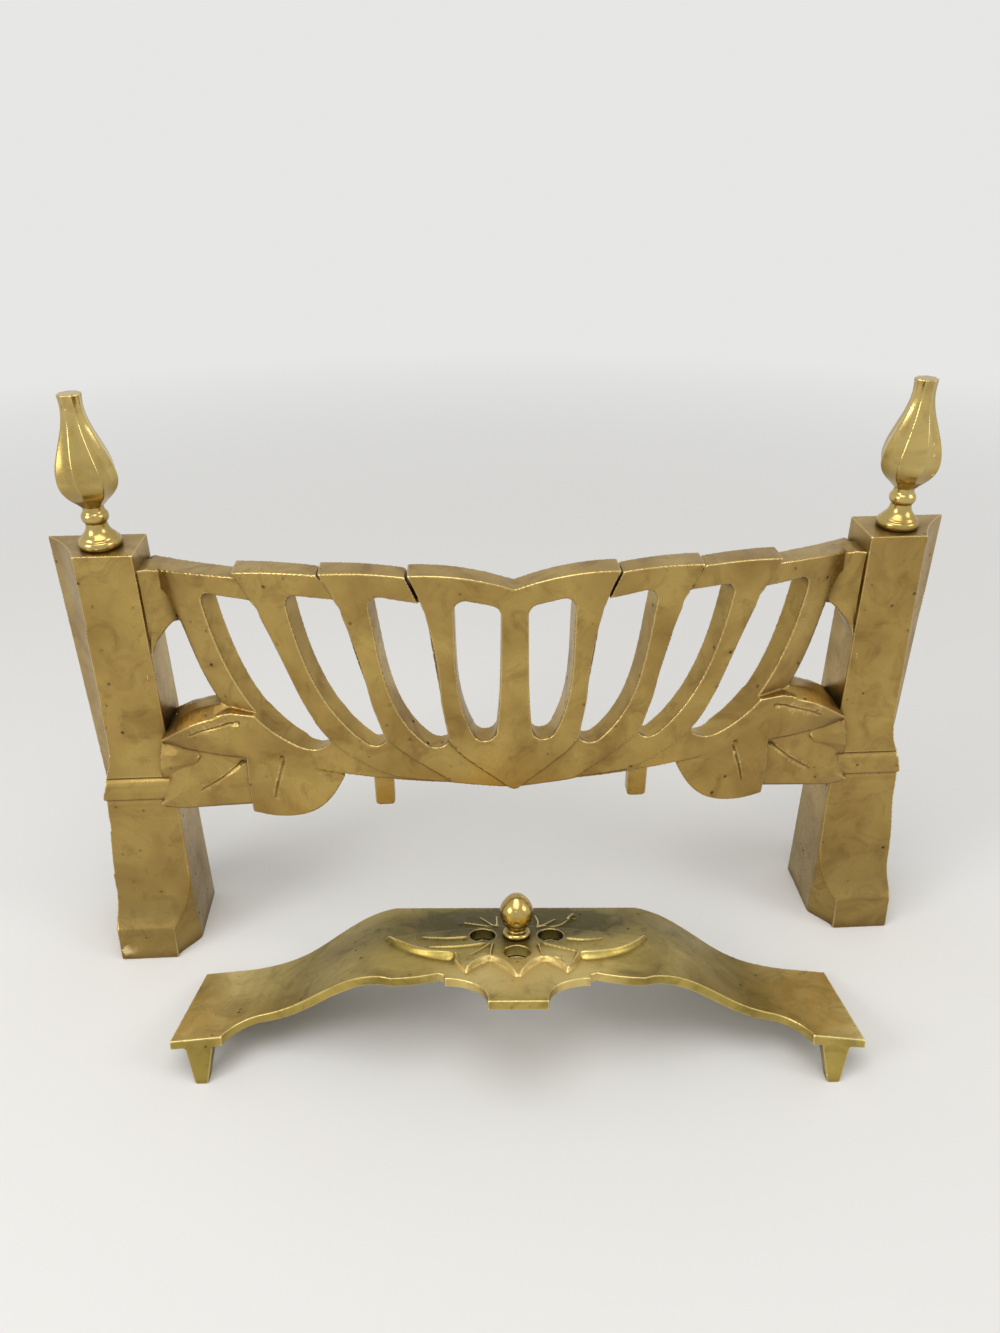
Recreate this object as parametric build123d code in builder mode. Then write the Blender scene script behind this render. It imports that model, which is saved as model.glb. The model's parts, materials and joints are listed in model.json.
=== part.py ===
from build123d import *
import os
from math import asin, cos, radians, sin, sqrt

# Fire grate: two cast posts, a bowed front grille between them, two finials, and a loose
# ash-pit cover with a rotary air damper. Millimetres, +Z up, X across the hearth, -Y to the room.

# where things stand
back_y = 96.98
clear_width = 434.0

# posts
post_height = 287.0
post_outer_x = 276.0
cap_front_x = 251.5
cap_front_depth = 34.5
ledge_top_z = 139.5
ledge_bottom_z = 121.0
ledge_depth = 44.5
ledge_undercut = 1.8
leg_waist_depth = 46.0
leg_waist_z = 72.0
toe_height = 24.0
toe_depth = 64.5
toe_outer_x = 268.0
toe_inner_x = 229.5
pocket_wall = 8.0
pocket_depth = 25.0
pocket_floor = 12.0

# grille, a slice of an upright drum bowed towards the room
bow_mid_depth = 90.0
bow_end_depth = 15.0
grille_thickness = 13.5
grille_bottom_z = 154.5
grille_tip_drop = 2.0
petal_step = 2.6
petal_lean = 14.0
slot_corner = 6.5

# leaf brackets at the grille's lower corners
leaf_tip_depth = 41.0
leaf_root_x = 130.0
leaf_back_gap = 6.0
vein_depth = 1.2
web_bottom_z = 228.0
web_front_depth = 28.0
web_back_gap = 3.0

# locating lugs behind the grille
lug_mid_x = 79.5
lug_width = 12.0
lug_depth = 8.0
lug_bottom_z = 128.0
lug_top_z = 176.0
lug_screw_z = 168.0

# fasteners
screw_radius = 2.5
screw_head_radius = 4.5
screw_head_height = 3.5
screw_reach = 9.0
washer_thickness = 1.0
washer_radius = 5.5
thread_clearance = 0.1

# finials
finial_height = 89.5
finial_depth = 17.5
finial_x = 239.0
collar_radius = 12.2
stud_radius = 4.0
stud_engagement = 14.0
stud_nut_width = 13.0
stud_nut_height = 6.0

# ash-pit cover, lying tilted on its rear edge and two front legs
cover_mid_x = 1.0
cover_gap_behind = 97.4
cover_turn = -3.24
cover_tilt = 17.0
cover_half_width = 207.0
cover_depth = 78.0
cover_rise = 47.6
cover_thickness = 5.5
leg_reach = 23.6
leg_mid_u = 190.0
relief_height = 1.6

# rotary air damper
vent_centre_v = -40.5
vent_circle = 21.0
vent_radius = 8.0
damper_hole_radius = 7.4
damper_radius = 33.0
damper_thickness = 2.5
damper_gap = 0.3
spindle_radius = 4.0
spindle_running = 0.05
spindle_flat = 3.0
knob_gap = 0.2
knob_ring_radius = 8.8
knob_egg_radius = 10.4
knob_height = 27.0
knob_socket_depth = 9.0
damper_travel = 45.0
stop_radius = 1.5
stop_circle = 32.0
stop_play = 0.3
stop_pin_proud = 1.0
damper_stud_length = 8.0
damper_washer_radius = 6.5
stop_angle = 67.5
damper_nut_width = 8.0
damper_nut_height = 4.0

os.makedirs("parts", exist_ok=True)


def save(part, name):
    part.label = name
    export_step(part, f"parts/{name}.step")


def mirrored(part):
    return part.mirror(Plane.YZ)


# derived places
post_inner_x = clear_width / 2
bow_sag = bow_mid_depth - bow_end_depth
bow_radius = (post_inner_x**2 + bow_sag**2) / (2 * bow_sag)
bow_centre_y = back_y - bow_mid_depth + bow_radius
rear_radius = bow_radius - grille_thickness


# the Y of a plane this far in front of the grate's back
def depth_y(depth):
    return back_y - depth


def bow_y(x, radius):
    return bow_centre_y - sqrt(radius**2 - x**2)


# distance along the flat plane that touches the bow at mid_x
def along_bow(x, mid_x):
    return bow_radius * sin(asin(x / bow_radius) - asin(mid_x / bow_radius))


def bow_plane(mid_x):
    angle = asin(mid_x / bow_radius)
    touch = (bow_radius * sin(angle), bow_centre_y - bow_radius * cos(angle), 0)
    return Plane(origin=touch, x_dir=(cos(angle), sin(angle), 0), z_dir=(sin(angle), -cos(angle), 0))


screw_places = [(depth_y(18.5), 130), (depth_y(18.5), 152), (depth_y(8.5), post_height - 25)]

# post, right hand: a side profile and a plan outline cut through each other
with BuildPart() as right_post:
    with BuildSketch(Plane.YZ):
        with BuildLine():
            top_front = (depth_y(cap_front_depth), post_height)
            sweep_start = (depth_y(cap_front_depth + 3), ledge_top_z + 25)
            ledge_top = (depth_y(ledge_depth - 3.5), ledge_top_z)
            ledge_mid = (depth_y(ledge_depth - 0.7), (ledge_top_z + ledge_bottom_z) / 2)
            ledge_bottom = (depth_y(ledge_depth), ledge_bottom_z)
            leg_top = (depth_y(ledge_depth - ledge_undercut), ledge_bottom_z - 1)
            leg_waist = (depth_y(leg_waist_depth), leg_waist_z)
            leg_flare = (depth_y(leg_waist_depth + 6), leg_waist_z - 35)
            toe_top = (depth_y(toe_depth - 3), toe_height)
            Line((back_y, 0), (back_y, post_height))
            Line((back_y, post_height), top_front)
            Line(top_front, sweep_start)
            Spline(sweep_start, (depth_y(cap_front_depth + 4), ledge_top_z + 10), ledge_top,
                   tangents=[(-0.02, -1), (-0.5, -1)])
            ThreePointArc(ledge_top, ledge_mid, ledge_bottom)
            Line(ledge_bottom, leg_top)
            Spline(leg_top, (depth_y(ledge_depth - 1.5), 96), leg_waist, leg_flare, toe_top)
            Line(toe_top, (depth_y(toe_depth), 0))
            Line((depth_y(toe_depth), 0), (back_y, 0))
        make_face()
    extrude(amount=post_outer_x)
    with BuildSketch(Plane.XY):
        with BuildLine():
            cap_corner = (cap_front_x, depth_y(cap_front_depth))
            side_lip = (258.5, depth_y(40.5))
            side_swell = (265.0, depth_y(47.5))
            toe_outer = (toe_outer_x, depth_y(56))
            toe_inner = (toe_inner_x, depth_y(61))
            shin_inner = (post_inner_x, depth_y(46.5))
            ThreePointArc((post_outer_x, back_y), (262.5, depth_y(14)), cap_corner)
            Polyline(cap_corner, side_lip, side_swell, toe_outer, (toe_outer_x, depth_y(toe_depth + 2)),
                     (toe_inner_x, depth_y(toe_depth + 2)), toe_inner, shin_inner, (post_inner_x, back_y),
                     (post_outer_x, back_y))
        make_face()
    extrude(amount=post_height, mode=Mode.INTERSECT)
    # cored back
    with BuildSketch(Plane.XY.offset(pocket_floor)):
        Polygon((post_inner_x + pocket_wall, back_y), (post_outer_x - pocket_wall - 5, back_y),
                (cap_front_x - pocket_wall + 1, depth_y(pocket_depth)),
                (post_inner_x + pocket_wall, depth_y(pocket_depth)), align=None)
    extrude(amount=post_height - pocket_floor - pocket_wall, mode=Mode.SUBTRACT)
    # finial stud hole through the cap
    with Locations((finial_x, depth_y(finial_depth), post_height)):
        Hole(stud_radius + thread_clearance, depth=pocket_wall)
    # screw holes through the inner wall
    with BuildSketch(Plane.YZ.offset(post_inner_x - 1)):
        with Locations(*screw_places):
            Circle(screw_radius + thread_clearance)
    extrude(amount=pocket_wall + 2, mode=Mode.SUBTRACT)
save(right_post.part, "right_post")
save(mirrored(right_post.part), "left_post")


# grille petals: how far each stands back, its top edge and its outer edge in the front view
petals = [
    (9.0, [(post_inner_x, 272.5), (159, 280), (0, 280)],
     [(post_inner_x, 272.5), (206, 262), (191, 221), (167, 178), (141, 162), (112, 155.5)]),
    (6.4, [(158, 284), (132, 288), (108, 289)],
     [(158, 284), (142, 254), (128, 216), (110, 181), (95, 169), (71, 158)]),
    (3.8, [(107, 291), (84, 293), (59, 292)],
     [(107, 291), (93, 259), (83, 214), (76, 189), (63, 176), (37, 157)]),
    (1.2, [(58, 294), (28, 293), (0, 285.5)],
     [(58, 294), (48, 266), (42, 214), (38.5, 189), (26, 174), (3, 154)]),
]
# slots: middle, top corners, inner side, bottom arc, outer side
slots = [
    (150, (181, 266), (145, 267), [(133, 227), (118, 193)], (111, 179), (118, 171.5), (130, 171.5),
     [(151, 186), (172, 224)]),
    (105, (128, 275), (96, 275), [(87, 229), (80, 203)], (75.5, 187), (79, 181), (87, 181),
     [(103, 197), (121, 237)]),
    (62, (81, 280.5), (49, 276), [(44, 232), (41, 210)], (38, 190), (42, 183.5), (50, 183.5),
     [(60, 194), (75, 236)]),
    (20, (34, 281), (7.5, 275), [(8, 240), (8.5, 220)], (10.5, 194), (17, 188.5), (24, 194),
     [(28.5, 206), (33, 250)]),
]
# leaf veins and the hollow between two leaves, on the leaves' own plane
veins = [
    [(198, 173), (166, 182), (166, 185)],
    [(196, 133), (166, 154.5), (166, 157.5)],
    [(140, 163), (142.5, 163), (149, 136)],
]
leaf_hollow = [(post_inner_x + 2, 160), (205, 158), (196, 154.5), (206, 146), (post_inner_x + 2, 129)]


def bow_drum(radius, shift_x, shift_y):
    with BuildPart() as drum:
        with BuildSketch(Plane.XY.offset(grille_bottom_z - 50)):
            with Locations((shift_x, bow_centre_y + shift_y)):
                Circle(radius)
        extrude(amount=post_height)
    return drum.part


def grille_petal(stand_back, top_edge, ridge):
    front_drum = bow_drum(bow_radius, petal_lean, stand_back - petal_step)
    with BuildPart() as petal:
        with BuildSketch(Plane.XZ.offset(-back_y)):
            with BuildLine():
                ThreePointArc(*top_edge)
                Spline(*ridge)
                Polyline(top_edge[-1], (0, grille_bottom_z - grille_tip_drop), ridge[-1])
            make_face()
        extrude(amount=bow_mid_depth + 20)
        add(front_drum, mode=Mode.INTERSECT)
        add(rear_drum, mode=Mode.SUBTRACT)
    return petal.part


def slot_cutter(mid_x, top_out, top_in, inner, low_in, low, low_out, outer):
    def flat(point):
        return (along_bow(point[0], mid_x), point[1])

    with BuildPart() as cutter:
        with BuildSketch(bow_plane(mid_x)):
            with BuildLine():
                Line(flat(top_out), flat(top_in))
                Spline(flat(top_in), *[flat(point) for point in inner], flat(low_in))
                ThreePointArc(flat(low_in), flat(low), flat(low_out))
                Spline(flat(low_out), *[flat(point) for point in outer], flat(top_out))
            make_face()
            fillet(vertices().sort_by(Axis.Y)[-2:], slot_corner)
        extrude(amount=2 * grille_thickness, both=True)
    return cutter.part


def leaf_cut(points, plane, depth):
    with BuildPart() as cut:
        with BuildSketch(plane):
            Polygon(*points, align=None)
        extrude(amount=depth, both=True)
    return cut.part


rear_drum = bow_drum(rear_radius, 0, 0)
petal_parts = [grille_petal(*row) for row in petals]
slot_parts = [slot_cutter(*row) for row in slots]

# leaves' front plane, from the post's front edge to the grille
leaf_root_y = bow_y(leaf_root_x, bow_radius)
leaf_run = Vector(post_inner_x - leaf_root_x, depth_y(leaf_tip_depth) - leaf_root_y, 0).normalized()
leaf_plane = Plane(origin=(post_inner_x, depth_y(leaf_tip_depth), 0), x_dir=leaf_run,
                   z_dir=leaf_run.cross(Vector(0, 0, 1)))


def on_leaf(point):
    return ((point[0] - post_inner_x) / leaf_run.X, point[1])


vein_parts = [leaf_cut([on_leaf(point) for point in vein], leaf_plane, vein_depth) for vein in veins]
hollow_part = leaf_cut([on_leaf(point) for point in leaf_hollow], leaf_plane, 4.0)

with BuildPart() as leaf_bracket:
    with BuildSketch(Plane.XZ.offset(-back_y)):
        with BuildLine():
            Spline((112, 154.6), (134, 127), (163, 118.5))
            Polyline((163, 118.5), (164.5, 122.5), (209, 113.5), (post_inner_x, 113), (post_inner_x, 167), (203, 177),
                     (187, 185), (171, 190), (140, 190), (112, 154.6))
        make_face()
    extrude(amount=bow_mid_depth)
    with BuildSketch(Plane.XY.offset(100)):
        Polygon((post_inner_x, depth_y(leaf_tip_depth)), (leaf_root_x, leaf_root_y),
                (105, bow_y(105, bow_radius) + 4), (105, bow_y(105, rear_radius)),
                (160, bow_y(160, rear_radius)), (post_inner_x, depth_y(leaf_back_gap)), align=None)
    extrude(amount=120, mode=Mode.INTERSECT)
    for cut in vein_parts + [hollow_part]:
        add(cut, mode=Mode.SUBTRACT)

# web in the upper corner between the outer petal and the post
with BuildPart() as corner_web:
    with BuildSketch(Plane.XZ.offset(-back_y)):
        with BuildLine():
            ThreePointArc((post_inner_x, web_bottom_z), (208, web_bottom_z + 9), (199, web_bottom_z + 10))
            Polyline((199, web_bottom_z + 10), (199, 262), (206, 262), (post_inner_x, 272),
                     (post_inner_x, web_bottom_z))
        make_face()
    extrude(amount=bow_mid_depth)
    with BuildSketch(Plane.XY.offset(web_bottom_z - 1)):
        Polygon((post_inner_x, depth_y(web_front_depth)), (210, depth_y(web_front_depth - 4)), (199, depth_y(22)),
                (199, depth_y(14)), (post_inner_x, depth_y(web_back_gap)), align=None)
    extrude(amount=60, mode=Mode.INTERSECT)

with BuildPart() as grille_half:
    for petal in petal_parts:
        add(petal)
    add(leaf_bracket.part)
    add(corner_web.part)
    for cutter in slot_parts:
        add(cutter, mode=Mode.SUBTRACT)
    # tapped holes for the post screws
    with BuildSketch(Plane.YZ.offset(post_inner_x - screw_reach - 1)):
        with Locations(*screw_places):
            Circle(screw_radius + thread_clearance)
    extrude(amount=screw_reach + 2, mode=Mode.SUBTRACT)

lug_face_y = bow_y(lug_mid_x - lug_width / 2, rear_radius)
with BuildPart() as front_grille:
    add(grille_half.part)
    mirror(about=Plane.YZ)
    # flat seats for the lugs, and their tapped holes
    with Locations(*[(side * lug_mid_x, lug_face_y, lug_bottom_z) for side in (-1, 1)]):
        Box(lug_width + 0.4, 12, lug_top_z - lug_bottom_z + 0.4,
            align=(Align.CENTER, Align.MIN, Align.MIN), mode=Mode.SUBTRACT)
    with BuildSketch(Plane.XZ.offset(-lug_face_y)):
        with Locations(*[(side * lug_mid_x, lug_screw_z) for side in (-1, 1)]):
            Circle(screw_radius + thread_clearance)
    extrude(amount=screw_reach - 1, mode=Mode.SUBTRACT)
save(front_grille.part, "front_grille")

with BuildPart() as right_lug:
    with Locations((lug_mid_x, lug_face_y, lug_bottom_z)):
        Box(lug_width, lug_depth, lug_top_z - lug_bottom_z, align=(Align.CENTER, Align.MIN, Align.MIN))
    fillet(edges().filter_by(Axis.Y).group_by(Axis.Z)[0], 2.5)
    with BuildSketch(Plane.XZ.offset(-lug_face_y - lug_depth)):
        with Locations((lug_mid_x, lug_screw_z)):
            Circle(screw_radius + thread_clearance)
    extrude(amount=lug_depth, mode=Mode.SUBTRACT)
save(right_lug.part, "right_locating_lug")
save(mirrored(right_lug.part), "left_locating_lug")


# a slotted screw: its head sits on the plane and its shank runs along the plane's -Z
def cheese_screw(plane, shank):
    with BuildPart(plane) as screw:
        Cylinder(screw_head_radius, screw_head_height, align=(Align.CENTER, Align.CENTER, Align.MIN))
        Cylinder(screw_radius, shank, align=(Align.CENTER, Align.CENTER, Align.MAX))
        with Locations((0, 0, screw_head_height)):
            Box(2 * screw_head_radius, 1.2, 3.0, mode=Mode.SUBTRACT)
    return screw.part


def ring(plane, outer, inner, height):
    with BuildPart(plane) as washer:
        Cylinder(outer, height, align=(Align.CENTER, Align.CENTER, Align.MIN))
        Cylinder(inner, height, align=(Align.CENTER, Align.CENTER, Align.MIN), mode=Mode.SUBTRACT)
    return washer.part


wall_planes = [Plane(origin=(post_inner_x + pocket_wall, y, z), z_dir=(1, 0, 0)) for y, z in screw_places]
post_washers = [ring(plane, washer_radius, screw_radius + thread_clearance, washer_thickness)
                for plane in wall_planes]
post_screws = [cheese_screw(plane.offset(washer_thickness), washer_thickness + pocket_wall + screw_reach - 1)
               for plane in wall_planes]
lug_plane = Plane(origin=(lug_mid_x, lug_face_y + lug_depth, lug_screw_z), z_dir=(0, 1, 0))
lug_screw = cheese_screw(lug_plane, lug_depth + screw_reach - 2)
save(Compound(children=post_washers + [mirrored(part) for part in post_washers]), "post_screw_washers")
save(Compound(children=post_screws + [mirrored(part) for part in post_screws]), "post_screws")
save(Compound(children=[lug_screw, mirrored(lug_screw)]), "lug_screws")

# finial: turned foot, eight-sided flame
flame_levels = [(26.5, 6.5), (29.5, 9.5), (34, 15.2), (42, 18.2), (50, 17.0), (60, 13.6), (74, 8.8), (84, 6.6),
                (finial_height, 6.2)]
finial_seat = Plane(origin=(finial_x, depth_y(finial_depth), post_height))
with BuildPart(finial_seat) as right_finial:
    with BuildSketch(Plane(finial_seat.origin, x_dir=(1, 0, 0), z_dir=(0, -1, 0))):
        with BuildLine():
            Polyline((0, 27), (0, 0), (collar_radius - 0.6, 0), (collar_radius, 0.9))
            ThreePointArc((collar_radius, 0.9), (collar_radius + 0.3, 3.0), (collar_radius - 0.6, 5.2))
            Polyline((collar_radius - 0.6, 5.2), (collar_radius - 1.6, 5.6), (collar_radius - 2.2, 7.0))
            Spline((collar_radius - 2.2, 7.0), (6.9, 10.8), (6.1, 15.0))
            ThreePointArc((6.1, 15.0), (7.8, 18.5), (6.4, 21.6))
            Spline((6.4, 21.6), (6.0, 24.0), (6.6, 27))
            Line((6.6, 27), (0, 27))
        make_face()
    revolve(axis=Axis(finial_seat.origin, (0, 0, 1)))
    for height, radius in flame_levels:
        with BuildSketch(finial_seat.offset(height)):
            RegularPolygon(radius, 8, rotation=22.5)
    loft()
    with Locations((0, 0, 0)):
        Cylinder(stud_radius + thread_clearance, stud_engagement + 1,
                 align=(Align.CENTER, Align.CENTER, Align.MIN), mode=Mode.SUBTRACT)
save(right_finial.part, "right_finial")
save(mirrored(right_finial.part), "left_finial")

stud_drop = pocket_wall + washer_thickness + stud_nut_height + 3
under_cap = finial_seat.offset(-pocket_wall - washer_thickness)
under_washer = under_cap.offset(-stud_nut_height)
with BuildPart(finial_seat) as stud:
    with Locations((0, 0, stud_engagement)):
        Cylinder(stud_radius, stud_engagement + stud_drop, align=(Align.CENTER, Align.CENTER, Align.MAX))
with BuildPart() as stud_nut:
    with BuildSketch(under_washer):
        RegularPolygon(stud_nut_width / 2, 6, major_radius=False)
        Circle(stud_radius + thread_clearance, mode=Mode.SUBTRACT)
    extrude(amount=stud_nut_height)
stud_washer = ring(under_cap, stud_nut_width / 2 + 0.8, stud_radius + thread_clearance, washer_thickness)
save(Compound(children=[stud.part, mirrored(stud.part)]), "finial_studs")
save(Compound(children=[stud_nut.part, mirrored(stud_nut.part)]), "finial_nuts")
save(Compound(children=[stud_washer, mirrored(stud_washer)]), "finial_washers")

# ash-pit cover: its own tilted plane, u across, v towards the grate, w square to the plate
tilt = radians(cover_tilt)
turn = radians(cover_turn)
cover_plane = Plane(origin=(cover_mid_x, back_y - cover_gap_behind, cover_thickness * cos(tilt)),
                    x_dir=(cos(turn), sin(turn), 0),
                    z_dir=(-sin(turn) * sin(tilt), cos(turn) * sin(tilt), cos(tilt)))
cover_side = Plane(origin=cover_plane.origin, x_dir=cover_plane.x_dir, z_dir=-cover_plane.y_dir)
shoulder = [(78, cover_rise), (92, 43.5), (106, 36), (120, 26.5), (135, 16.5), (150, 9.5), (164, 5.5), (178, 3)]
front_edge = [(101, -77), (111, -73.5), (131, -67), (158, -61.5)]
tab_edge = [(17, -113), (17.5, -106), (22, -97), (31, -91), (42, -89)]


def other_side(points):
    return [(-u, v) for u, v in reversed(points)]


with BuildPart() as ash_cover:
    with BuildSketch(cover_side):
        with BuildLine():
            low_shoulder = [(u - 0.5 * cover_thickness, w - 0.87 * cover_thickness) for u, w in shoulder]
            Line((-78, cover_rise), (78, cover_rise))
            Spline(*shoulder)
            Polyline(shoulder[-1], (cover_half_width, 0), (cover_half_width, -cover_thickness),
                     (low_shoulder[-1][0], -cover_thickness + 2.4))
            Spline((low_shoulder[-1][0], -cover_thickness + 2.4), *low_shoulder[-2:0:-1],
                   (75, cover_rise - cover_thickness))
            Line((75, cover_rise - cover_thickness), (-75, cover_rise - cover_thickness))
            Spline(*other_side([(low_shoulder[-1][0], -cover_thickness + 2.4), *low_shoulder[-2:0:-1],
                                (75, cover_rise - cover_thickness)]))
            Polyline((-low_shoulder[-1][0], -cover_thickness + 2.4), (-cover_half_width, -cover_thickness),
                     (-cover_half_width, 0), (-178, 3))
            Spline(*other_side(shoulder))
        make_face()
    extrude(amount=120)
    with BuildSketch(cover_plane):
        with BuildLine():
            Line((-cover_half_width, 0), (cover_half_width, 0))
            for side in (1, -1):
                Polyline((side * cover_half_width, 0), (side * cover_half_width, -cover_depth),
                         (side * 176, -cover_depth))
                ThreePointArc((side * 176, -cover_depth), (side * 170, -67), (side * 158, -61.5))
                Spline(*[(side * u, v) for u, v in front_edge])
                Line((side * 101, -77), (side * 73, -89))
                ThreePointArc((side * 73, -89), (side * 58, -87), (side * 46, -83))
                Polyline((side * 46, -83), (side * 42, -85), (side * 42, -89))
                Spline(*[(side * u, v) for u, v in tab_edge])
            Line((-17, -113), (17, -113))
        make_face()
    extrude(amount=80, both=True, mode=Mode.INTERSECT)
    # raised lotus round the vents
    with BuildSketch(cover_plane.offset(cover_rise)):
        for side in (-1, 1):
            with BuildLine():
                Spline((side * 12, -28), (side * 45, -34), (side * 80, -43))
                Spline((side * 80, -43), (side * 60, -61.5), (side * 38, -66))
                Polyline((side * 38, -66), (side * 29.5, -82), (side * 16, -69), (side * 12, -28))
            make_face()
        with BuildLine():
            Polyline((-16, -69), (0, -88), (16, -69), (12, -28), (-12, -28), (-16, -69))
        make_face()
    extrude(amount=relief_height, taper=20)
    # four vents and the spindle bore
    with BuildSketch(cover_plane.offset(cover_rise + relief_height)):
        with Locations((0, vent_centre_v)):
            Circle(spindle_radius + spindle_running)
            with PolarLocations(vent_circle, 4):
                Circle(vent_radius)
    extrude(amount=-2 * cover_thickness, mode=Mode.SUBTRACT)
    # blind hole under the plate for the stop pin
    with BuildSketch(cover_plane.offset(cover_rise - 2 * cover_thickness)):
        with Locations((0, vent_centre_v)):
            with PolarLocations(stop_circle, 1, start_angle=stop_angle):
                Circle(stop_radius + thread_clearance)
    extrude(amount=1.5 * cover_thickness, mode=Mode.SUBTRACT)
    # two tapered front legs
    for side in (-1, 1):
        with BuildSketch(cover_plane.offset(-cover_thickness / 2)):
            with Locations((side * leg_mid_u, 5 - cover_depth)):
                Rectangle(17, 10)
        with BuildSketch(cover_plane.offset(-cover_thickness - leg_reach - 4)):
            with Locations((side * leg_mid_u, 4 - cover_depth)):
                Rectangle(6, 6)
        loft()
    # level feet, flat on the hearth
    split(bisect_by=Plane.XY, keep=Keep.TOP)
save(ash_cover.part, "ash_cover")

# rotary damper, on the plate's centre
vent_plane = Plane(origin=cover_plane.from_local_coords((0, vent_centre_v, cover_rise)),
                   x_dir=cover_plane.x_dir, z_dir=cover_plane.z_dir)
vent_side = Plane(origin=vent_plane.origin, x_dir=vent_plane.x_dir, z_dir=-vent_plane.y_dir)
damper_top = -cover_thickness - damper_gap
knob_seat = relief_height + knob_gap
knob_egg_middle = knob_seat + 0.53 * knob_height
with BuildPart() as damper_knob:
    with BuildSketch(vent_side):
        with BuildLine():
            top = (0, knob_seat + knob_height)
            Polyline(top, (0, knob_seat), (knob_ring_radius - 0.6, knob_seat), (knob_ring_radius, knob_seat + 1))
            ThreePointArc((knob_ring_radius, knob_seat + 1), (knob_ring_radius - 0.8, knob_seat + 2.8),
                          (knob_ring_radius - 2.6, knob_seat + 3.4))
            Spline((knob_ring_radius - 2.6, knob_seat + 3.4), (5.7, knob_seat + 4.4), (6.2, knob_seat + 5.4))
            ThreePointArc((6.2, knob_seat + 5.4), (knob_egg_radius - 1.2, knob_seat + 9.4),
                          (knob_egg_radius, knob_egg_middle))
            egg_rise = knob_seat + knob_height - knob_egg_middle
            Spline((knob_egg_radius, knob_egg_middle),
                   (0.866 * knob_egg_radius, knob_egg_middle + 0.5 * egg_rise),
                   (0.5 * knob_egg_radius, knob_egg_middle + 0.866 * egg_rise), top, tangents=[(0, 1), (-1, 0)])
        make_face()
    revolve(axis=Axis(vent_plane.origin, vent_plane.z_dir))
    with BuildSketch(vent_plane.offset(knob_seat)):
        Circle(spindle_radius + thread_clearance)
    extrude(amount=knob_socket_depth + 0.5, mode=Mode.SUBTRACT)
save(damper_knob.part, "damper_knob")

with BuildPart() as damper_spindle:
    with BuildSketch(vent_plane.offset(damper_top)):
        Circle(spindle_radius)
    extrude(amount=knob_seat + knob_socket_depth - damper_top)
    with BuildSketch(vent_plane.offset(damper_top)):
        Rectangle(2 * spindle_flat, 2 * spindle_flat)
    extrude(amount=-damper_thickness)
    with BuildSketch(vent_plane.offset(damper_top - damper_thickness)):
        Circle(screw_radius)
    extrude(amount=-damper_stud_length)
save(damper_spindle.part, "damper_spindle")

# rim notch that meets the stop pin at both ends of the travel
stop_notch = CenterArc((0, 0), stop_circle, stop_angle - damper_travel, damper_travel)
with BuildPart() as damper_disc:
    with BuildSketch(vent_plane.offset(damper_top)):
        Circle(damper_radius)
        Rectangle(2 * (spindle_flat + thread_clearance), 2 * (spindle_flat + thread_clearance),
                  mode=Mode.SUBTRACT)
        with PolarLocations(vent_circle, 4):
            Circle(damper_hole_radius, mode=Mode.SUBTRACT)
        SlotArc(stop_notch, 2 * (stop_radius + stop_play), mode=Mode.SUBTRACT)
    extrude(amount=-damper_thickness)
save(damper_disc.part, "damper_disc")

disc_under = vent_plane.offset(damper_top - damper_thickness - washer_thickness)
save(ring(disc_under, damper_washer_radius, screw_radius + thread_clearance, washer_thickness), "damper_washer")
with BuildPart() as damper_nut:
    with BuildSketch(disc_under.offset(-damper_nut_height)):
        RegularPolygon(damper_nut_width / 2, 6, major_radius=False)
        Circle(screw_radius + thread_clearance, mode=Mode.SUBTRACT)
    extrude(amount=damper_nut_height)
save(damper_nut.part, "damper_nut")

with BuildPart() as stop_pin:
    with BuildSketch(vent_plane.offset(-cover_thickness / 2)):
        with PolarLocations(stop_circle, 1, start_angle=stop_angle):
            Circle(stop_radius)
    extrude(amount=damper_top - damper_thickness - stop_pin_proud + cover_thickness / 2)
save(stop_pin.part, "damper_stop_pin")
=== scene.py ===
import json
import math

import bpy
import numpy as np
from mathutils import Euler, Matrix, Vector


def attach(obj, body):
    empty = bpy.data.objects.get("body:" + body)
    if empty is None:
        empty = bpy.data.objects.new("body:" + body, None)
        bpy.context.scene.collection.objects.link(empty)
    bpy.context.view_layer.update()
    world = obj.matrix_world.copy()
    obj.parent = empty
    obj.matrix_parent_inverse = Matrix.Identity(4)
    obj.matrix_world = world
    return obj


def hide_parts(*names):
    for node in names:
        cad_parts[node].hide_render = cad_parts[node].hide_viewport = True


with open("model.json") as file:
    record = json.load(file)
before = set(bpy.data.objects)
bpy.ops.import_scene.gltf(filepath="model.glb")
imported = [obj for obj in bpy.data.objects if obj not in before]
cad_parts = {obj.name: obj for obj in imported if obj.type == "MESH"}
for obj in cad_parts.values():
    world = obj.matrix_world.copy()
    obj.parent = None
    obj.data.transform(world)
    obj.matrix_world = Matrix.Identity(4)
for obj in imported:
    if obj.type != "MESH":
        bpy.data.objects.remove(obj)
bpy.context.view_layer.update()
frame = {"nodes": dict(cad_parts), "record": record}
millimetre = 0.001
weldDistance = 0.00001
# a skin is made with its piece turned askew by these degrees, so that no long edge runs along the grid and is stepped
skewAngles = (27, -19, 33)
skinSoftness = 0.5
# the tip of a raised or cut line: where it starts and how long it is, as shares of the line, and how much it narrows
lineTip = {"from": 0.92, "run": 0.08, "narrowing": 0.5}


# small helpers used by every piece

def deselectAll():
    if bpy.context.object and bpy.context.object.mode != "OBJECT":
        bpy.ops.object.mode_set(mode="OBJECT")
    bpy.ops.object.select_all(action="DESELECT")


def makeActive(piece):
    deselectAll()
    piece.select_set(True)
    bpy.context.view_layer.objects.active = piece


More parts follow.
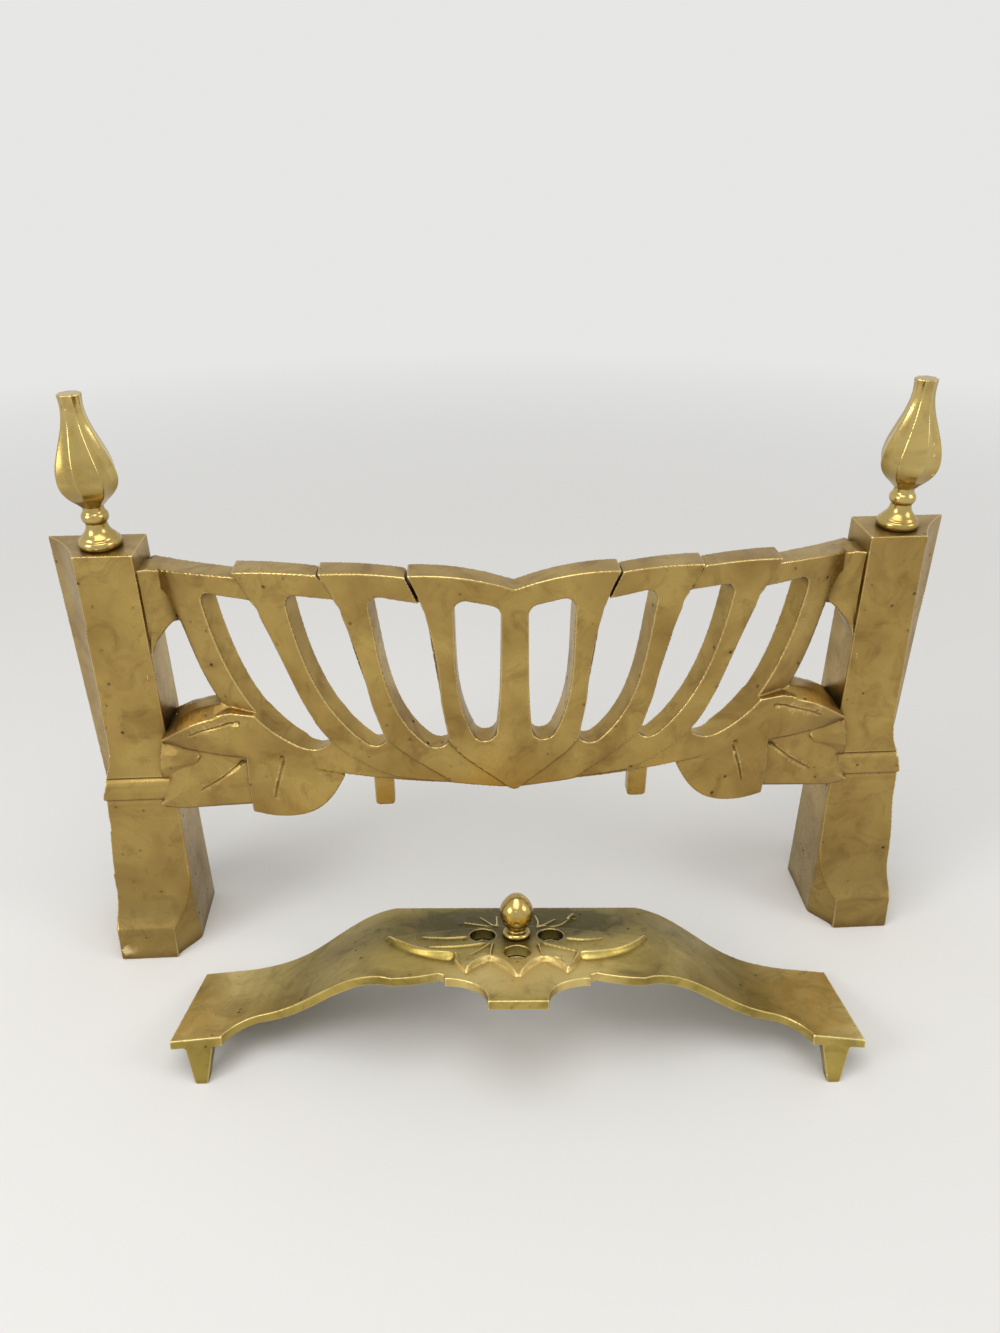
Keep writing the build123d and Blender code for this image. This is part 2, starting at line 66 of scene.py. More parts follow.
def applyModifier(piece, kind, **settings):
    makeActive(piece)
    modifier = piece.modifiers.new(kind.title(), kind)
    for key, value in settings.items():
        setattr(modifier, key, value)
    bpy.ops.object.modifier_apply(modifier=modifier.name)


# a welded copy of one CAD node, ready to be worked on
def weldedCopy(nodeName, pieceName):
    source = frame["nodes"][nodeName]
    piece = source.copy()
    piece.data = source.data.copy()
    piece.name = pieceName
    piece.parent = None
    for key in list(piece.keys()):
        del piece[key]
    bpy.context.scene.collection.objects.link(piece)
    piece.data.materials.clear()
    makeActive(piece)
    bpy.ops.object.mode_set(mode="EDIT")
    bpy.ops.mesh.select_all(action="SELECT")
    bpy.ops.mesh.remove_doubles(threshold=weldDistance)
    bpy.ops.object.mode_set(mode="OBJECT")
    return piece


def joinInto(piece, extras):
    deselectAll()
    for extra in extras:
        extra.select_set(True)
    piece.select_set(True)
    bpy.context.view_layer.objects.active = piece
    bpy.ops.object.join()


skewTurn = Euler([math.radians(angle) for angle in skewAngles]).to_matrix().to_4x4()


# one cast skin over everything joined so far, with its edges a little soft
def castSkin(piece, skin, carve=None):
    piece.data.transform(skewTurn)
    applyModifier(piece, "REMESH", mode="VOXEL", voxel_size=skin["voxel"] * millimetre)
    applyModifier(piece, "SMOOTH", factor=skinSoftness, iterations=skin["smoothing"])
    piece.data.transform(skewTurn.inverted())
    if carve:
        carve(piece)
    triangles = sum(len(face.vertices) - 2 for face in piece.data.polygons)
    if triangles > skin["triangles"]:
        applyModifier(piece, "DECIMATE", ratio=skin["triangles"] / triangles)
    makeActive(piece)
    bpy.ops.object.shade_smooth()


def readPoints(piece):
    points = np.empty(len(piece.data.vertices) * 3)
    piece.data.vertices.foreach_get("co", points)
    return points.reshape(-1, 3) / millimetre


def writePoints(piece, points):
    piece.data.vertices.foreach_set("co", (points * millimetre).ravel())
    piece.data.update()


def roundedLine(points, steps=6):
    if len(points) < 3:
        return [Vector(point) for point in points]
    ends = [points[0]] + list(points) + [points[-1]]
    line = []
    for before, start, end, after in zip(ends, ends[1:], ends[2:], ends[3:]):
        before, start, end, after = (Vector(point) for point in (before, start, end, after))
        for step in range(steps):
            t = step / steps
            line.append(0.5 * (2 * start + (end - before) * t + (2 * before - 5 * start + 4 * end - after) * t**2
                               + (3 * start - before - 3 * end + after) * t**3))
    return line + [Vector(points[-1])]


# for each flat point, how high a line of a given half width stands there, tapering along its length
def lineHeight(flat, points, halfWidth, height, startTaper=0.4, endTaper=1.0, sharp=1.0):
    line = roundedLine(points)
    lengths = np.cumsum([0] + [(b - a).length for a, b in zip(line, line[1:])])
    result = np.zeros(len(flat))
    for index, (start, end) in enumerate(zip(line, line[1:])):
        a, run = np.array(start), np.array(end - start)
        t = np.clip(((flat - a) @ run) / max(run @ run, 1e-9), 0, 1)
        far = np.linalg.norm(flat - a - t[:, None] * run, axis=1)
        along = (lengths[index] + t * (lengths[index + 1] - lengths[index])) / lengths[-1]
        size = startTaper + (endTaper - startTaper) * along
        narrowed = size * (1.0 - lineTip["narrowing"] * (along - lineTip["from"]) / lineTip["run"])
        size = np.where(along > lineTip["from"], narrowed, size)
        fall = np.clip(1 - far / (halfWidth * size), 0, 1)
        result = np.maximum(result, height * size**0.5 * (fall * fall * (3 - 2 * fall))**sharp)
    return result


def finishPiece(piece, slotName, body, *nodeNames):
    piece.data.materials.clear()
    piece.data.materials.append(finishes[slotName])
    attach(piece, body)
    if nodeNames:
        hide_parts(*nodeNames)
    print(piece.name, "faces", len(piece.data.polygons))


# one piece from its welded copy to its finish, where nothing is joined to it on the way
def castPiece(nodeName, pieceName, slotName, body, skin, carve=None):
    piece = weldedCopy(nodeName, pieceName)
    castSkin(piece, skin, carve)
    finishPiece(piece, slotName, body, nodeName)


# finishes
# a span is written as from, to and, where they aren't 0 and 1, the least and the most that it gives
spotRim = 0.45
glowShape = {"ragged": (0.2, 0.8, -0.35, 0.35), "fade": (1.1, 0.45)}


class FinishTree:
    def __init__(self, name):
        self.material = bpy.data.materials.new(name)
        self.material.use_nodes = True
        self.nodes = self.material.node_tree.nodes
        self.links = self.material.node_tree.links
        self.shader = self.nodes["Principled BSDF"]
        self.place = self.nodes.new("ShaderNodeTexCoord").outputs["Object"]

    def feed(self, socket, value):
        if isinstance(value, bpy.types.NodeSocket):
            self.links.new(value, socket)
        else:
            socket.default_value = value

    def noise(self, scale, detail=3.0, stretch=(1, 1, 1), warp=0.0, rough=0.55):
        mapping = self.nodes.new("ShaderNodeMapping")
        mapping.inputs["Scale"].default_value = stretch
        self.links.new(self.place, mapping.inputs["Vector"])
        field = self.nodes.new("ShaderNodeTexNoise")
        field.inputs["Scale"].default_value = scale
        field.inputs["Detail"].default_value = detail
        field.inputs["Roughness"].default_value = rough
        field.inputs["Distortion"].default_value = warp
        self.links.new(mapping.outputs["Vector"], field.inputs["Vector"])
        return field.outputs["Fac"]

    def spots(self, scale, size):
        cells = self.nodes.new("ShaderNodeTexVoronoi")
        cells.inputs["Scale"].default_value = scale
        self.links.new(self.place, cells.inputs["Vector"])
        return self.span(cells.outputs["Distance"], size, size * spotRim)

    # one round area about a place, fading outwards with a ragged edge
    def glow(self, place, reach, ragged):
        mapping = self.nodes.new("ShaderNodeMapping")
        mapping.vector_type = "TEXTURE"
        mapping.inputs["Location"].default_value = place
        mapping.inputs["Scale"].default_value = reach
        self.links.new(self.place, mapping.inputs["Vector"])
        away = self.nodes.new("ShaderNodeVectorMath")
        away.operation = "LENGTH"
        self.links.new(mapping.outputs["Vector"], away.inputs[0])
        ragged = self.span(ragged, *glowShape["ragged"])
        return self.span(self.sums("ADD", away.outputs["Value"], ragged), *glowShape["fade"])

    # a value stretched between two limits and clamped to 0..1
    def span(self, value, low, high, least=0.0, most=1.0):
        node = self.nodes.new("ShaderNodeMapRange")
        self.feed(node.inputs["Value"], value)
        node.inputs["From Min"].default_value = low
        node.inputs["From Max"].default_value = high
        node.inputs["To Min"].default_value = least
        node.inputs["To Max"].default_value = most
        return node.outputs["Result"]

    def sums(self, kind, first, second):
        node = self.nodes.new("ShaderNodeMath")
        node.operation = kind
        self.feed(node.inputs[0], first)
        self.feed(node.inputs[1], second)
        return node.outputs["Value"]

    def blend(self, amount, under, over):
        node = self.nodes.new("ShaderNodeMix")
        node.data_type = "RGBA"
        self.feed(node.inputs["Factor"], amount)
        self.feed(node.inputs["A"], under if isinstance(under, bpy.types.NodeSocket) else (*under, 1))
        self.feed(node.inputs["B"], over if isinstance(over, bpy.types.NodeSocket) else (*over, 1))
        return node.outputs["Result"]

    def bump(self, height, distance, below=None):
        node = self.nodes.new("ShaderNodeBump")
        node.inputs["Distance"].default_value = distance * millimetre
        self.feed(node.inputs["Height"], height)
        if below:
            self.links.new(below, node.inputs["Normal"])
        return node.outputs["Normal"]


brassNoise = {
    "clouds": {"scale": 22, "detail": 4, "warp": 0.6},
    "patches": {"scale": 48, "detail": 6, "warp": 1.2, "rough": 0.65},
    "specks": {"scale": 420, "detail": 2},
    "scratches": {"scale": 160, "detail": 3, "rough": 0.7},
    "ripple": {"scale": 60, "detail": 2},
    "grain": {"scale": 900, "detail": 3},
}
brassSpans = {
    "hollow": (0.95, 0.35), "wear": (0.5, 0.72), "tone": (0.34, 0.66), "under": (0.0, -0.4),
    "lowShadeDrift": (0.3, 0.7, -0.012, 0.012), "lowShadeHeight": (0.125, 0.03),
    "endPatches": (0.3, 0.62, 1.0, 0.55), "endFacing": (0.3, 0.8),
    "pitPatches": (0.42, 0.6), "speckGloss": (0.3, 0.7, -0.03, 0.05),
}
glossRange = (0.3, 0.7)
# what the darkened hollows and creases (painted shade, with tarnish), the pits and the light edges (wear, with painted
# highlight) add to the roughness or take from it
roughening = {"shadeAndGrime": 0.15, "pits": 0.3, "edges": 0.08}
cavitySamples = 6


def brassFinish(name, look):
    tree = FinishTree(name)
    tree.shader.inputs["Metallic"].default_value = 1.0
    clouds = tree.noise(**brassNoise["clouds"])
    patches = tree.noise(**brassNoise["patches"])
    specks = tree.noise(**brassNoise["specks"])
    # hollows (ambient occlusion) and creases (low pointiness) are darkened: painted shade, together with the tarnish
    # that gathers there
    cavity = tree.nodes.new("ShaderNodeAmbientOcclusion")
    cavity.samples = cavitySamples
    cavity.inputs["Distance"].default_value = look["cavityReach"] * millimetre
    hollow = tree.span(cavity.outputs["AO"], *brassSpans["hollow"])
    shape = tree.nodes.new("ShaderNodeNewGeometry")
    # sharp edges (high pointiness) are painted lighter: wear that rubs the brass bright, and painted highlight
    edges = tree.span(shape.outputs["Pointiness"], look["edgeFrom"], look["edgeTo"])
    creases = tree.span(shape.outputs["Pointiness"], look["creaseFrom"], look["creaseTo"])
    shadeAndGrime = tree.sums("MAXIMUM", hollow, creases)
    wear = tree.span(patches, *brassSpans["wear"])

    colour = tree.blend(tree.span(clouds, *brassSpans["tone"]), look["light"], look["deep"])
    colour = tree.blend(tree.sums("MULTIPLY", wear, look["patchAmount"]), colour, look["patch"])
    # the casting is painted darker towards the bottom, fading out about 125 mm up: painted shade
    standing = tree.nodes.new("ShaderNodeSeparateXYZ")
    tree.links.new(tree.place, standing.inputs["Vector"])
    drift = tree.span(clouds, *brassSpans["lowShadeDrift"])
    lowShade = tree.span(tree.sums("ADD", standing.outputs["Z"], drift), *brassSpans["lowShadeHeight"])
    colour = tree.blend(tree.sums("MULTIPLY", lowShade, look["lowShadeAmount"]), colour, look["lowShade"])
    facing = tree.nodes.new("ShaderNodeSeparateXYZ")
    tree.links.new(shape.outputs["Normal"], facing.inputs["Vector"])
    # surfaces that face down are painted darker in the patch colour: painted shade
    under = tree.span(facing.outputs["Z"], *brassSpans["under"])
    colour = tree.blend(tree.sums("MULTIPLY", under, look["underShadeAmount"]), colour, look["patch"])
    # painted shade, with tarnish, darkens the hollows and creases
    colour = tree.blend(tree.sums("MULTIPLY", shadeAndGrime, look["shadeAndGrimeAmount"]), colour, look["shadeAndGrime"])
    # round areas of painted shade and painted highlight on the cover
    for area in ("backShade", "lipHighlight"):
        if area in look:
            spread = tree.glow(look[area + "Place"], look[area + "Reach"], patches)
            colour = tree.blend(tree.sums("MULTIPLY", spread, look[area + "Amount"]), colour, look[area])
    # the cover's two flat ends are painted lighter where they face up: painted highlight
    if "endHighlight" in look:
        ends = tree.span(tree.sums("ABSOLUTE", standing.outputs["X"], 0.0), look["endFrom"], look["endTo"])
        ends = tree.sums("MULTIPLY", ends, tree.span(patches, *brassSpans["endPatches"]))
        ends = tree.sums("MULTIPLY", ends, tree.span(facing.outputs["Z"], *brassSpans["endFacing"]))
        colour = tree.blend(tree.sums("MULTIPLY", ends, look["endAmount"]), colour, look["endHighlight"])
    pits = tree.spots(look["pitScale"], look["pitSize"])
    pits = tree.sums("MULTIPLY", pits, tree.span(patches, *brassSpans["pitPatches"]))
    colour = tree.blend(tree.sums("MULTIPLY", pits, look["pitAmount"]), colour, look["pit"])
    # the light edges: wear and painted highlight
    colour = tree.blend(tree.sums("MULTIPLY", edges, look["edgeAmount"]), colour, look["edge"])
    tree.links.new(colour, tree.shader.inputs["Base Color"])

    gloss = tree.span(clouds, *glossRange, look["glossy"], look["matt"])
    gloss = tree.sums("ADD", gloss, tree.span(specks, *brassSpans["speckGloss"]))
    gloss = tree.sums("ADD", gloss, tree.sums("MULTIPLY", shadeAndGrime, roughening["shadeAndGrime"]))
    gloss = tree.sums("ADD", gloss, tree.sums("MULTIPLY", pits, roughening["pits"]))
    gloss = tree.sums("SUBTRACT", gloss, tree.sums("MULTIPLY", edges, roughening["edges"]))
    tree.links.new(gloss, tree.shader.inputs["Roughness"])

    scratches = tree.noise(stretch=look["brushed"], **brassNoise["scratches"])
    relief = tree.bump(tree.noise(**brassNoise["ripple"]), look["ripple"])
    relief = tree.bump(scratches, look["scratch"], relief)
    relief = tree.bump(tree.noise(**brassNoise["grain"]), look["grain"], relief)
    relief = tree.bump(tree.sums("SUBTRACT", 1.0, pits), look["pitDepth"], relief)
    tree.links.new(relief, tree.shader.inputs["Normal"])
    return tree.material


agedLook = {
    "light": (0.47, 0.325, 0.10), "deep": (0.33, 0.212, 0.062), "patch": (0.20, 0.115, 0.035), "patchAmount": 0.6,
    "shadeAndGrime": (0.055, 0.036, 0.014), "shadeAndGrimeAmount": 0.65, "cavityReach": 9,
    "pit": (0.03, 0.024, 0.016), "pitScale": 85, "pitSize": 0.13, "pitAmount": 0.8, "pitDepth": 0.25,
    "edge": (0.86, 0.66, 0.30), "edgeFrom": 0.515, "edgeTo": 0.565, "edgeAmount": 0.9,
    "creaseFrom": 0.485, "creaseTo": 0.43,
    "underShadeAmount": 0.6, "lowShade": (0.12, 0.085, 0.035), "lowShadeAmount": 0.35,
    "glossy": 0.24, "matt": 0.40, "ripple": 0.25, "scratch": 0.03, "grain": 0.015, "brushed": (1, 1, 0.12),
}
polishedLook = dict(
    agedLook, light=(0.60, 0.45, 0.16), deep=(0.42, 0.30, 0.09), patch=(0.28, 0.185, 0.055), patchAmount=0.5,
    lowShadeAmount=0.0, glossy=0.14, matt=0.28, pitAmount=0.4, ripple=0.12, brushed=(1, 1, 3))
# on the cover, painted shade lies at its back, a painted highlight along its front lip and painted highlights on the
# two flat ends where they face up
oliveLook = dict(
    agedLook, light=(0.50, 0.375, 0.10), deep=(0.33, 0.245, 0.06), patch=(0.18, 0.13, 0.036), patchAmount=0.7,
    edge=(0.86, 0.70, 0.32), lowShadeAmount=0.0, glossy=0.3, matt=0.48, brushed=(0.12, 1, 1),
    backShade=(0.06, 0.048, 0.012), backShadePlace=(0.0, -0.008, 0.045), backShadeReach=(0.125, 0.034, 0.2), backShadeAmount=0.9,
    lipHighlight=(0.72, 0.555, 0.22), lipHighlightPlace=(0.002, -0.068, 0.03), lipHighlightReach=(0.06, 0.026, 0.2), lipHighlightAmount=0.8,
    endHighlight=(0.92, 0.74, 0.32), endFrom=0.150, endTo=0.186, endAmount=0.85)

finishes = {
    "aged_brass": brassFinish("agedCastBrass", agedLook),
    "polished_brass": brassFinish("handledBrass", polishedLook),
    "olive_brass": brassFinish("oliveTarnishedBrass", oliveLook),
}


def steelFinish(name, look):
    tree = FinishTree(name)
    tree.shader.inputs["Metallic"].default_value = 1.0
    clouds = tree.noise(**look["clouds"])
    colour = tree.blend(tree.span(clouds, *look["tone"]), look["light"], look["dark"])
    rust = tree.span(tree.noise(**look["rustNoise"]), *look["rustSpan"])
    colour = tree.blend(tree.sums("MULTIPLY", rust, look["rustAmount"]), colour, look["rust"])
    tree.links.new(colour, tree.shader.inputs["Base Color"])
    tree.links.new(tree.span(clouds, *glossRange, look["glossy"], look["matt"]), tree.shader.inputs["Roughness"])
    tree.links.new(tree.bump(tree.noise(**look["grainNoise"]), look["grain"]), tree.shader.inputs["Normal"])
    return tree.material


finishes["steel"] = steelFinish("dullFastenerSteel", {
    "clouds": {"scale": 90, "detail": 5, "warp": 0.8}, "tone": (0.4, 0.62),
    "light": (0.34, 0.33, 0.31), "dark": (0.19, 0.18, 0.165), "glossy": 0.32, "matt": 0.55,
    "rust": (0.16, 0.075, 0.035), "rustAmount": 0.6, "rustNoise": {"scale": 260, "detail": 4}, "rustSpan": (0.56, 0.7),
    "grainNoise": {"scale": 700, "detail": 3}, "grain": 0.02})
print("finishes made")

# pieces that keep their CAD mesh get the finish of their slot
slotOf = {row["node"]: row["material_slot"] for row in frame["record"]["subparts"]}
for nodeName, node in frame["nodes"].items():
    node.data.materials.clear()
    node.data.materials.append(finishes[slotOf[nodeName]])

# posts
backY = 96.98  # the grate's back plane, in millimetres
postSkin = {"voxel": 0.62, "smoothing": 5, "triangles": 170000}
# front line of a post about its ledge, (height, depth in front of the back plane); the dip is the crease over the ledge
ledgeLine = [(80, 44.9), (88, 44.2), (97, 43.6), (106, 43.6), (115, 44.2), (122, 45.0), (127, 45.3), (131.5, 44.8),
             (134, 43.2), (135.3, 41.2), (136.6, 42.2), (139, 41.4), (144, 39.8), (151, 38.6), (160, 37.9), (172, 37.4)]
# where the front is measured, |x| and half width, in slices; then how the change fades: height, depth, |x| and depth
ledgeReach = {"middle": 236, "halfWidth": 10, "step": 0.5, "slice": 0.7, "blend": 8.0, "frontFrom": 35, "frontRun": 5,
              "outerFrom": 244, "outerRun": 14, "sideFrom": 18, "sideRun": 14, "smoothing": 2}
# how far the outer edge of the leg is moved out, (height, distance); the ledge's own end is drawn in a little
legSide = [(22, 0), (40, 1.4), (60, 2.8), (88, 3.2), (108, 2.8), (119, 1.2), (128, -0.6), (136, -0.6), (148, 0)]


# the post's own front line is measured off the skin, then moved onto the ledge line
def shapeLedge(piece):
    points = readPoints(piece)
    height, depth = points[:, 2], backY - points[:, 1]
    middle = np.abs(np.abs(points[:, 0]) - ledgeReach["middle"]) < ledgeReach["halfWidth"]
    levels = np.arange(ledgeLine[0][0], ledgeLine[-1][0] + ledgeReach["step"], ledgeReach["step"])
    own = [depth[middle & (np.abs(height - level) < ledgeReach["slice"])].max() for level in levels]
    wanted = np.interp(height, *zip(*ledgeLine))
    ends = (np.clip((height - levels[0]) / ledgeReach["blend"], 0, 1)
            * np.clip((levels[-1] - height) / ledgeReach["blend"], 0, 1))
    atFront = np.clip((depth - ledgeReach["frontFrom"]) / ledgeReach["frontRun"], 0, 1)
    points[:, 1] -= (wanted - np.interp(height, levels, own)) * ends * atFront
    outer = (np.clip((np.abs(points[:, 0]) - ledgeReach["outerFrom"]) / ledgeReach["outerRun"], 0, 1)
             * np.clip((depth - ledgeReach["sideFrom"]) / ledgeReach["sideRun"], 0, 1))
    points[:, 0] += np.sign(points[:, 0]) * np.interp(height, *zip(*legSide)) * outer
    writePoints(piece, points)
    applyModifier(piece, "SMOOTH", factor=skinSoftness, iterations=ledgeReach["smoothing"])


for side in ("right", "left"):
    castPiece(side + "_post", side + "CastPost", "aged_brass", "root", postSkin, shapeLedge)

# grille with carved corner leaves; each row is points of (|x|, z, depth in front of the back plane)
cornerLeaves = {
    "upperLeaf": [
        [(218, 166, 34), (207, 178, 38), (195, 186, 41.5), (182, 190.5, 43.5), (170, 190.5, 43)],
        [(219.5, 165, 42.6), (207, 174, 48.5), (195, 181, 51.5), (182, 185.5, 52.8), (166, 187, 49.5)],
        [(219, 164, 42.4), (206, 169, 48.4), (193, 172.5, 51.5), (178, 174, 54.4), (158, 176, 54)],
        [(218, 162.5, 41), (205, 160.8, 46.2), (191, 159.6, 50.0), (177, 158.8, 53.4), (150, 159, 59)],
        [(218, 161.5, 36), (205, 159.5, 40), (191, 158.2, 44), (177, 157.4, 47), (150, 157.6, 53)]],
    "cornerLeaf": [
        [(221, 160, 38.5), (212, 160.5, 43.5), (203, 159.5, 46), (196, 158, 48)],
        [(222, 153, 42.5), (213, 154.5, 46.4), (204, 155, 47.8), (195, 155.5, 49)],
        [(223, 144, 43.5), (215, 147, 46), (207, 149, 47.4), (198, 151, 48.5)],
        [(224, 133, 41), (217, 137, 43), (209, 141, 44.5), (200, 146, 46)]],
    "lowerLeaf": [
        [(225, 121, 44.5), (218, 135, 44.0), (208, 148, 45.2), (196, 156, 46.5), (180, 160, 48.5),
         (164, 161, 52)],
        [(226, 118.5, 46.8), (214, 127, 49.6), (202, 136, 51.6), (189, 142, 53.0), (177, 144.5, 54.8),
         (163, 145, 57.6)],
        [(224, 115.5, 46), (211, 116, 48.6), (198, 118, 50.6), (186, 120, 52.2), (175, 122, 54.2),
         (163, 124.5, 57.0)],
        [(222, 114, 41), (210, 113, 43.5), (198, 114.6, 46), (186, 116.8, 48.6), (175, 119, 51.2),
         (163, 121.8, 54.2)]],
    "innerLeaf": [
        [(164.5, 161, 56.4), (155, 166, 56.5), (145, 166, 58), (133, 162, 61), (118, 158, 65), (104, 155.5, 69)],
        [(165, 142, 59.8), (152, 145, 62.6), (140, 148, 65), (128, 151, 67), (116, 152.6, 69.3),
         (103, 154.4, 71.6)],
        [(164.6, 119, 59.0), (150, 117.6, 62.4), (135, 120.2, 66.2), (122, 126.6, 69.0), (111.5, 137.8, 71.0),
         (103, 152.6, 71.6)],
        [(164, 117.6, 55), (150, 116.2, 57), (135, 118.9, 61), (122, 125.6, 65), (111.5, 137.0, 68),
         (103, 152.2, 70)]],
}
leafCuts = [  # start and end of each cut, (|x|, z); they run out towards the first point
    [(199, 172.5), (188, 177.5), (166, 184)], [(197, 132), (184, 141), (165.5, 155.5)],
    [(148.5, 133), (145, 146), (140.5, 160)],
]
leafCutSize = {"halfWidth": 1.4, "depth": 1.2, "startTaper": 0.35, "endTaper": 1.0}
# only the leaves' own front is cut: beyond this |x|, below this height and in front of a plane that follows the bow
leafFront = {"beyond": 100, "below": 195, "depth": 36, "depthAt": 217, "slope": 0.277}
leafShape = {"steps": 3, "root": 14}
# the casting's flare between post and outer petal: outline (|x|, z) and the depth in front of the back plane at each
cornerFlare = {
    "front": [(222, 276.5, 34.4), (212, 275.5, 29), (204, 272, 24.5), (199, 254, 22), (201, 241, 24), (207, 236, 26.5),
              (213, 229, 31.5), (218, 217, 36.2), (222, 203, 37.2)],
    "middle": (213, 252, 28.5), "thickness": 18, "cuts": 3, "swell": 0.6}
grilleSkin = {"voxel": 0.72, "smoothing": 4, "triangles": 196000}


# a grid primitive whose rows are laid on the leaf's lines, then given a root into the casting behind it
def leafSolid(name, rows, side):
    rows = [roundedLine(row, leafShape["steps"]) for row in rows]
    deselectAll()
    bpy.ops.mesh.primitive_grid_add(x_subdivisions=len(rows[0]) - 1, y_subdivisions=len(rows) - 1, size=1)
    leaf = bpy.context.object
    leaf.name = name
    for index, vertex in enumerate(leaf.data.vertices):
        x, z, depth = rows[index // len(rows[0])][index % len(rows[0])]
        vertex.co = Vector((side * x, backY - depth, z)) * millimetre
    bpy.ops.object.mode_set(mode="EDIT")
    bpy.ops.mesh.select_all(action="SELECT")
    bpy.ops.mesh.extrude_region_move(TRANSFORM_OT_translate={"value": (0, leafShape["root"] * millimetre, 0)})
    bpy.ops.mesh.select_all(action="SELECT")
    bpy.ops.mesh.normals_make_consistent(inside=False)
    bpy.ops.object.mode_set(mode="OBJECT")
    return leaf


# a closed fan from the flare's outline to its hollow middle
def flareSolid(name, side):
    outline = cornerFlare["front"]
    deselectAll()
    bpy.ops.mesh.primitive_circle_add(vertices=len(outline), radius=1, fill_type="TRIFAN")
    flare = bpy.context.object
    flare.name = name
    places = {}
    for vertex in flare.data.vertices:
        if vertex.co.length < 0.5:  # the fan's middle; the others stand at radius 1
            places[vertex.index] = cornerFlare["middle"]
        else:
            step = round(math.atan2(vertex.co.y, vertex.co.x) / math.tau * len(outline)) % len(outline)
            places[vertex.index] = outline[step]
    for vertex in flare.data.vertices:
        x, z, depth = places[vertex.index]
        vertex.co = Vector((side * x, backY - depth, z)) * millimetre
    bpy.ops.object.mode_set(mode="EDIT")
    bpy.ops.mesh.select_all(action="SELECT")
    bpy.ops.mesh.subdivide(number_cuts=cornerFlare["cuts"], smoothness=cornerFlare["swell"])
    bpy.ops.mesh.extrude_region_move(
        TRANSFORM_OT_translate={"value": (0, cornerFlare["thickness"] * millimetre, 0)})
    bpy.ops.mesh.select_all(action="SELECT")
    bpy.ops.mesh.normals_make_consistent(inside=False)
    bpy.ops.object.mode_set(mode="OBJECT")
    return flare


def cutLeafVeins(piece):
    points = readPoints(piece)
    flat = np.column_stack([np.abs(points[:, 0]), points[:, 2]])
    depth = backY - points[:, 1]
    front = (flat[:, 0] > leafFront["beyond"]) & (flat[:, 1] < leafFront["below"])
    front &= depth > leafFront["depth"] + (leafFront["depthAt"] - flat[:, 0]) * leafFront["slope"]
    for cut in leafCuts:
        points[front, 1] += lineHeight(flat[front], cut, leafCutSize["halfWidth"], leafCutSize["depth"],
                                       leafCutSize["startTaper"], leafCutSize["endTaper"])
    writePoints(piece, points)


grille = weldedCopy("front_grille", "bowedGrille")
leaves = [leafSolid(name + ("Right" if side > 0 else "Left"), rows, side)
          for name, rows in cornerLeaves.items() for side in (1, -1)]
flares = [flareSolid("cornerFlareRight", 1), flareSolid("cornerFlareLeft", -1)]
joinInto(grille, leaves + flares)
castSkin(grille, grilleSkin, cutLeafVeins)
finishPiece(grille, "aged_brass", "root", "front_grille")

lugSkin = {"voxel": 0.5, "smoothing": 3, "triangles": 30000}
for side in ("right", "left"):
    castPiece(side + "_locating_lug", side + "Lug", "aged_brass", "root", lugSkin)
print("grate cast")

# finials: the turned foot is kept, the flame above it is fluted and slightly twisted
flame = {
    "levels": [(24, 6.3), (27, 8.2), (30, 12.0), (34, 15.6), (38.5, 17.6), (43, 18.0), (49, 17.0), (56, 14.6),
               (64, 11.2), (71, 8.4), (77, 6.9), (82, 6.3), (86.5, 6.5), (89.3, 6.9)],
    "sides": 8, "valley": 0.87, "lowLevels": 3, "lowShare": 0.5,
    "twist": 22, "twistFrom": 40, "twistRun": 50,
    "x": 239.0, "depth": 17.5, "base": 287.0, "footTop": 26,
    "rimFrom": 88, "crease": 0.8, "subdivisions": 3,
}
flameSkin = {"voxel": 0.42, "smoothing": 2, "triangles": 90000}


def fluteFlame(name, side):
    levels = flame["levels"]
    deselectAll()
    bpy.ops.mesh.primitive_cylinder_add(vertices=2 * flame["sides"], radius=1, depth=1, end_fill_type="NGON")
    body = bpy.context.object
    body.name = name
    bpy.ops.object.mode_set(mode="EDIT")
    for index in range(1, len(levels) - 1):
        bpy.ops.mesh.select_all(action="SELECT")
        bpy.ops.mesh.bisect(plane_co=(0, 0, index / (len(levels) - 1) - 0.5), plane_no=(0, 0, 1))
    bpy.ops.object.mode_set(mode="OBJECT")
    centre = Vector((side * flame["x"], backY - flame["depth"], flame["base"]))
    ridgePoints = set()
    for vertex in body.data.vertices:
        level = round((vertex.co.z + 0.5) * (len(levels) - 1))
        height, radius = levels[level]
        angle = math.atan2(vertex.co.y, vertex.co.x)
        valley = round(angle / math.pi * flame["sides"]) % 2
        if not valley:
            ridgePoints.add(vertex.index)
        depth = flame["valley"] + (1 - flame["valley"]) * (flame["lowShare"] if level < flame["lowLevels"] else 0)
        turned = angle + side * math.radians(flame["twist"]) * (height - flame["twistFrom"]) / flame["twistRun"]
        vertex.co = (centre + Vector((math.cos(turned), math.sin(turned), 0)) * radius * (depth if valley else 1.0)
                     + Vector((0, 0, height))) * millimetre
    ridges = body.data.attributes.new("crease_edge", "FLOAT", "EDGE")
    for edge in body.data.edges:
        ends = [body.data.vertices[i].co / millimetre - centre for i in edge.vertices]
        upright = abs(ends[0].z - ends[1].z) > 0.5
        atRim = min(ends[0].z, ends[1].z) > flame["rimFrom"]
        if upright and all(i in ridgePoints for i in edge.vertices) or atRim:
            ridges.data[edge.index].value = flame["crease"]
    applyModifier(body, "SUBSURF", levels=flame["subdivisions"], render_levels=flame["subdivisions"])
    return body


